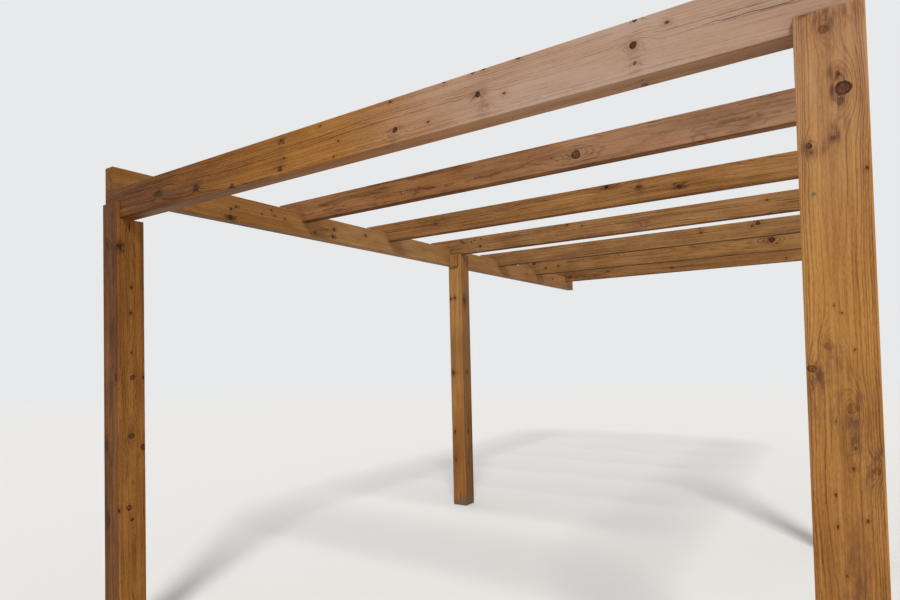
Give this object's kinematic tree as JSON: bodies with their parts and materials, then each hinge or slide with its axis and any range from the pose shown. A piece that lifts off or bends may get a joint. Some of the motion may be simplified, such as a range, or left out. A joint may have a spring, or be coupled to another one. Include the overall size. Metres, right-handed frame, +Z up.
{
  "type": "garden pergola",
  "caption": "Open stained-timber pergola: square posts, a front beam on their shoulders, jointed side beams and rafters notched over them.",
  "frame": {"origin": "on the ground, in the middle of the roof's plan", "axes": "+Z up, +X along the front beam to the right as seen from the front, +Y from the front to the rear"},
  "size_m": [3.45, 6.284, 2.51],
  "materials": {
    "post_timber": "honey stained pine, satin",
    "beam_timber": "amber stained pine, satin",
    "rafter_timber": "amber stained pine, satin"
  },
  "bodies": {
    "root": {"front_left_post": "post_timber", "front_right_post": "post_timber", "middle_left_post": "post_timber", "middle_right_post": "post_timber", "front_beam": "beam_timber", "left_side_beam_front": "beam_timber", "left_side_beam_rear": "beam_timber", "right_side_beam_front": "beam_timber", "right_side_beam_rear": "beam_timber", "rafter_1": "rafter_timber", "rafter_2": "rafter_timber", "rafter_3": "rafter_timber", "rafter_4": "rafter_timber", "rafter_5": "rafter_timber", "rafter_6": "rafter_timber", "left_cleat": "post_timber", "right_cleat": "post_timber"}
  },
  "joints": []
}
